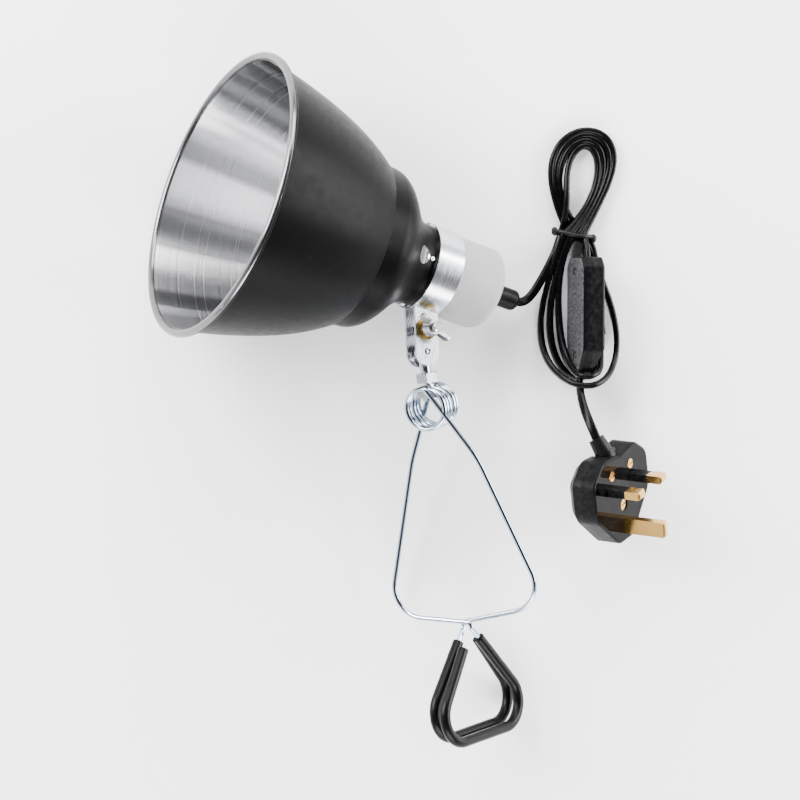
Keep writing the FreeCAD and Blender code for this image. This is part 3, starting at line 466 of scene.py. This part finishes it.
def metal(name, colour, rough, grain=None, tarnish=0.12, depth=0.000006, scale=900):
    """Plated or bare metal: cloudy tone, drawn or cast grain, uneven polish and brighter worn edges."""
    r = Recipe(name)
    tone = r.spread(r.noise(170, 5, 0.6), 1 - tarnish, 1 + tarnish * 0.4, 0.3, 0.7)
    fine = r.spread(r.noise(scale, 5, 0.6, grain), 0.93, 1.05, 0.3, 0.7)
    base = r.scaled(colour, r.math("MULTIPLY", tone, fine))
    edge = r.math("MULTIPLY", r.edge_wear(), 0.4)
    r.put("Base Color", r.mix(edge, base, tuple(min(1.0, c * 1.25 + 0.06) for c in colour)))
    r.put("Metallic", 1.0)
    r.put("Roughness", r.spread(r.noise(scale * 0.6, 6, 0.6, grain), rough - 0.06, rough + 0.09, 0.3, 0.7))
    r.bump(r.noise(scale * 1.5, 4, 0.6, grain), depth, 0.7)
    return r.material


def shade_finish():
    """Sprayed satin black outside, spun bare aluminium inside with painted reflection wedges round the axis,
    and a grey rolled bead.
    """
    r = Recipe("shade_two_tone")
    station, radial = r.lamp_place()
    facing = r.math("ADD", r.dot(r.normal, radial), r.dot(r.normal, AXIS))
    inside = r.math("LESS_THAN", facing, 0.0)
    bead = r.math("LESS_THAN", station, BEAD_BACK)
    bare = r.math("MAXIMUM", inside, bead)
    turned = r.rings(station, 2600)
    wide_turned = r.rings(station, 900)
    # painted reflection: dark and bright wedges in the aluminium's colour that change with the angle round the
    # lamp's axis
    painted_reflection_wedges = r.spread(r.noise_at(radial, 2.6, 1.5), 0.30, 1.0, 0.43, 0.51)
    tone = r.math("MULTIPLY", r.spread(turned, 0.90, 1.04, 0.3, 0.7), painted_reflection_wedges)
    bright = r.scaled((0.76, 0.765, 0.785), tone)
    bright = r.mix(bead, bright, (0.13, 0.13, 0.135))
    sprayed = r.scaled((0.0011, 0.0011, 0.0013), r.spread(r.noise(700, 5), 0.85, 1.2, 0.3, 0.7))
    scuff = r.math("MULTIPLY", r.spread(r.noise(95, 7, 0.7, (1, 1, 4)), 0, 1, 0.64, 0.72), 0.02)
    sprayed = r.mix(scuff, sprayed, (0.3, 0.3, 0.3))
    r.put("Base Color", r.mix(bare, sprayed, bright))
    r.put("Metallic", bare)
    both = r.math("ADD", r.math("MULTIPLY", wide_turned, 0.5), r.math("MULTIPLY", turned, 0.5))
    polish = r.spread(both, 0.16, 0.30, 0.35, 0.65)
    satin = r.spread(r.noise(240, 6), 0.36, 0.46, 0.3, 0.7)
    r.put("Roughness", r.blend_values(bare, satin, polish))
    r.put("Specular IOR Level", 0.05)
    r.put("Anisotropic", 0.65)
    r.put("Anisotropic Rotation", 0.25)
    r.turning_tangent(radial)
    height = r.blend_values(bare, r.noise(2600, 4, 0.6), turned)
    r.bump(height, 0.000005, 0.8)
    return r.material


def band_finish():
    """Zinc-plated strip rolled round the lampholder, with its drawing lines round it."""
    r = Recipe("rolled_zinc_band")
    station, radial = r.lamp_place()
    lines = r.rings(station, 1900)
    patches = r.spread(r.noise(120, 6, 0.65), 0.80, 1.06, 0.3, 0.7)
    tone = r.math("MULTIPLY", patches, r.spread(lines, 0.9, 1.05, 0.3, 0.7))
    r.put("Base Color", r.scaled((0.62, 0.64, 0.67), tone))
    r.put("Metallic", 1.0)
    r.put("Roughness", r.spread(lines, 0.16, 0.32, 0.35, 0.65))
    r.put("Anisotropic", 0.55)
    r.put("Anisotropic Rotation", 0.25)
    r.turning_tangent(radial)
    r.bump(lines, 0.000006, 0.8)
    return r.material


def thread_finish():
    """Bare aluminium rolled to a coarse screw thread, with painted shade in its grooves."""
    r = Recipe("threaded_aluminium")
    station, radial = r.lamp_place()
    angle = r.math("ARCTAN2", r.dot(radial, ACROSS), r.dot(radial, RADIAL))
    helix = r.math("SINE", r.math("ADD", r.math("MULTIPLY", station, tau / THREAD_PITCH), angle))
    # painted shade: the colour follows the thread's wave, darker in the grooves with a faint painted highlight
    # on the crests
    r.put("Base Color", r.scaled((0.76, 0.76, 0.78), r.spread(helix, 0.82, 1.05, -1.0, 1.0)))
    r.put("Metallic", 1.0)
    r.put("Roughness", r.spread(r.noise(500, 5), 0.2, 0.34, 0.3, 0.7))
    r.bump(helix, 0.0006, 1.0)
    return r.material


def ceramic_finish():
    """Unglazed off-white porcelain: fine sandy grain, faint grey clouds and a few dark specks."""
    r = Recipe("unglazed_porcelain")
    cloud = r.spread(r.noise(90, 6, 0.6), 0.94, 1.03, 0.3, 0.7)
    sand = r.spread(r.noise(3200, 3, 0.6), 0.93, 1.05, 0.3, 0.7)
    base = r.scaled((0.29, 0.283, 0.281), r.math("MULTIPLY", cloud, sand))
    specks = r.math("MULTIPLY", r.spread(r.noise(1300, 2, 0.5), 0, 1, 0.70, 0.74), 0.45)
    r.put("Base Color", r.mix(specks, base, (0.26, 0.23, 0.2)))
    r.put("Roughness", r.spread(r.noise(500, 5), 0.62, 0.8, 0.3, 0.7))
    r.put("Specular IOR Level", 0.35)
    r.bump(r.noise(1500, 5, 0.65), 0.00016, 0.8)
    return r.material


def two_faced(name, direction, limit, plain, facing, grain_depth):
    """Moulding whose face towards a direction has its own finish.

    plain is (colour, roughness) and facing is (colour, roughness, features of its grain per metre).
    """
    r = Recipe(name)
    face = r.spread(r.dot(r.normal, direction), 0.0, 1.0, limit - 0.04, limit + 0.04)
    tone = r.spread(r.noise(facing[2], 4, 0.7), 0.15, 1.9, 0.36, 0.64)
    marked = r.scaled(facing[0], tone)
    ordinary = r.scaled(plain[0], r.spread(r.noise(900, 5), 0.85, 1.18, 0.3, 0.7))
    edge = r.math("MULTIPLY", r.edge_wear(), r.spread(r.noise(500, 3), 0.0, 0.22, 0.4, 0.8))
    r.put("Base Color", r.mix(edge, r.mix(face, ordinary, marked), (0.05, 0.05, 0.052)))
    uneven = r.spread(r.noise(260, 6, 0.6), -0.04, 0.05, 0.3, 0.7)
    r.put("Roughness", r.math("ADD", uneven, r.blend_values(face, plain[1], facing[1])))
    r.put("Specular IOR Level", 0.05)
    grain = r.blend_values(face, r.math("MULTIPLY", r.noise(2400, 4), 0.15),
                           r.math("MULTIPLY", r.noise(facing[2], 4, 0.7), grain_depth))
    r.bump(grain, 0.00008, 0.7)
    return r.material


# ---------------------------------------------------------------- scene
CAMERA_TILT, CAMERA_AROUND = radians(7.16), radians(161.0)     # lean from overhead, and towards which side
CAMERA_DISTANCE, SENSOR = 1.42, 36.0            # metres and millimetres
PICTURE_SPAN = 0.401                            # width of floor that the picture shows, in metres
CAMERA_TARGET = Vector((0.0323, 0.0003, 0.0))
FLOOR_HALF, FLOOR_DROP = 6.0, 0.0002


def look_at(thing, target):
    """Turn a light so that it faces a point."""
    forward = (target - thing.location).normalized()
    thing.rotation_euler = forward.to_track_quat("-Z", "Y").to_euler()


def camera():
    """Camera nearly overhead, with the row's +Y upwards in the picture."""
    tilt, around = CAMERA_TILT, CAMERA_AROUND
    back = Vector((sin(tilt) * cos(around), sin(tilt) * sin(around), cos(tilt)))
    up = (Vector((0, 1, 0)) - back * back.y).normalized()
    right = up.cross(back)
    data = bpy.data.cameras.new("camera")
    data.sensor_width = SENSOR
    data.lens = SENSOR * CAMERA_DISTANCE / PICTURE_SPAN
    data.clip_end = 20
    made = bpy.data.objects.new("camera", data)
    bpy.context.scene.collection.objects.link(made)
    made.location = CAMERA_TARGET + back * CAMERA_DISTANCE
    made.rotation_euler = Matrix((right, up, back)).transposed().to_euler()
    bpy.context.scene.camera = made


def light(name, place, size, power, target):
    """Rectangular white area light."""
    data = bpy.data.lights.new(name, "AREA")
    data.shape = "RECTANGLE"
    data.size, data.size_y = size
    data.energy = power
    made = bpy.data.objects.new(name, data)
    bpy.context.scene.collection.objects.link(made)
    made.location = place
    look_at(made, Vector(target))


def floor():
    """Plain white floor."""
    mesh = bpy.data.meshes.new("floor")
    corners = [(FLOOR_HALF * x, FLOOR_HALF * y, 0) for x, y in ((-1, -1), (1, -1), (1, 1), (-1, 1))]
    mesh.from_pydata(corners, [], [(0, 1, 2, 3)])
    made = bpy.data.objects.new("floor", mesh)
    bpy.context.scene.collection.objects.link(made)
    made.location.z = -FLOOR_DROP
    r = Recipe("floor_white")
    r.put("Base Color", (0.95, 0.95, 0.95, 1))
    r.put("Roughness", 0.9)
    r.put("Specular IOR Level", 0.1)
    mesh.materials.append(r.material)


def sky():
    """White surroundings that darken overhead, so that polished metal has something dark to show."""
    world = bpy.data.worlds.new("studio")
    bpy.context.scene.world = world
    world.use_nodes = True
    tree = world.node_tree
    heading = tree.nodes.new("ShaderNodeTexCoord")
    split = tree.nodes.new("ShaderNodeSeparateXYZ")
    fade = tree.nodes.new("ShaderNodeValToRGB")
    background = tree.nodes["Background"]
    tree.links.new(heading.outputs["Generated"], split.inputs[0])
    tree.links.new(split.outputs["Z"], fade.inputs["Fac"])
    tree.links.new(fade.outputs["Color"], background.inputs["Color"])
    around, overhead = fade.color_ramp.elements
    around.position, overhead.position = 0.30, 0.72
    around.color = (1, 1, 1, 1)
    overhead.color = (0.035, 0.035, 0.04, 1)
    background.inputs["Strength"].default_value = 1.9


camera()
floor()

# ================================================================ light
light("key", (-1.15, 0.75, 0.85), (1.1, 0.9), 105, (0.0, 0.0, 0.03))
light("fill", (1.35, 0.25, 0.42), (1.1, 0.6), 62, (0.03, 0.0, 0.03))
light("front", (0.1, -1.35, 0.8), (1.3, 0.7), 52, (0.03, 0.0, 0.03))
light("back", (0.1, 1.4, 0.8), (1.3, 0.7), 44, (0.03, 0.0, 0.03))
sky()

# ================================================================ lead
lead_path = route("lead_guide", hank_route())
lead = flat_lead("lead_main", lead_path, lead_roll)
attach(lead, "head")
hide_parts("lead_lamp_end", "hank_upper_lobe", "hank_lower_lobe")

tail_path = route("tail_guide", TAIL)
tail = flat_lead("lead_tail", tail_path, tail_roll)
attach(tail, "head")
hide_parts("lead_plug_end")

tie = tie_ring()
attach(tie, "head")
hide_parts("cord_tie")

nodes = {o["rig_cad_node"]: o for o in bpy.data.objects if "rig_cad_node" in o}

# ================================================================ finishes
FINISHES = {
    "shade": shade_finish(),
    "bare_aluminium": metal("plain_aluminium", (0.74, 0.74, 0.76), 0.28),
    "ceramic": ceramic_finish(),
    "brass": metal("pin_brass", (0.60, 0.35, 0.09), 0.20, grain=(1, 6, 1)),
    "black_moulding": plastic("black_moulding", (0.0016, 0.0016, 0.0018), 0.36, level=0.08, worn_edges=0.2),
    "core_insulation": plastic("core_brown", (0.16, 0.08, 0.04), 0.45),
    "zinc_steel": metal("zinc_plate", (0.47, 0.48, 0.51), 0.22, tarnish=0.25),
    "yellow_zinc": metal("yellow_zinc", (0.46, 0.34, 0.10), 0.26, tarnish=0.25),
    "cast_wing": metal("cast_zinc", (0.34, 0.34, 0.35), 0.34, tarnish=0.25, depth=0.00004, scale=600),
    "spring_wire": metal("bright_wire", (0.46, 0.53, 0.62), 0.13, tarnish=0.08),
    "vinyl": plastic("dipped_vinyl", (0.0013, 0.0012, 0.0012), 0.32, level=0.10, grain=700, depth=0.00003),
    "lead": plastic("lead_sheath", (0.0013, 0.0013, 0.0015), 0.26, grain=900, depth=0.00001, level=0.10),
    "tie_plastic": plastic("tie_black", (0.0045, 0.0045, 0.0048), 0.42, level=0.15, grain=900, depth=0.00003),
    "bright_steel": metal("bright_steel", (0.66, 0.66, 0.68), 0.22),
    "gloss_black": plastic("gloss_black", (0.0015, 0.0015, 0.0017), 0.10, level=0.08, grain=300,
                           depth=0.000004, spread=0.03),
    "fuse_ceramic": plastic("fuse_white", (0.7, 0.68, 0.63), 0.5, grain=900, depth=0.00002),
    "rubber_guard": plastic("guard_black", (0.0015, 0.0015, 0.0016), 0.4, level=0.14, grain=900,
                            depth=0.00002),
}
OWN_FINISHES = {
    "collar_band": band_finish(),
    "screw_shell": thread_finish(),
    "switch_base": two_faced("switch_flat_side", SWITCH_FLAT, 0.75, ((0.0016, 0.0016, 0.0018), 0.34),
                             ((0.042, 0.042, 0.045), 0.6, 900), 1.6),
    "plug_base": two_faced("plug_polished_face", PLUG_FACE_OUT, 0.8, ((0.0026, 0.0026, 0.0029), 0.42),
                           ((0.0016, 0.0016, 0.0018), 0.06, 300), 0.02),
    "plug_cover": plastic("plug_satin_back", (0.0026, 0.0026, 0.0029), 0.42, level=0.07, worn_edges=0.2),
}


def finish_node(node, material):
    """Give a CAD node one material."""
    node.data.materials.clear()
    node.data.materials.append(material)


for entry in frame["record"]["subparts"]:
    finish_node(nodes[entry["node"]], OWN_FINISHES.get(entry["node"], FINISHES[entry["material_slot"]]))
lead.data.materials.append(FINISHES["lead"])
tail.data.materials.append(FINISHES["lead"])
tie.data.materials.append(FINISHES["tie_plastic"])
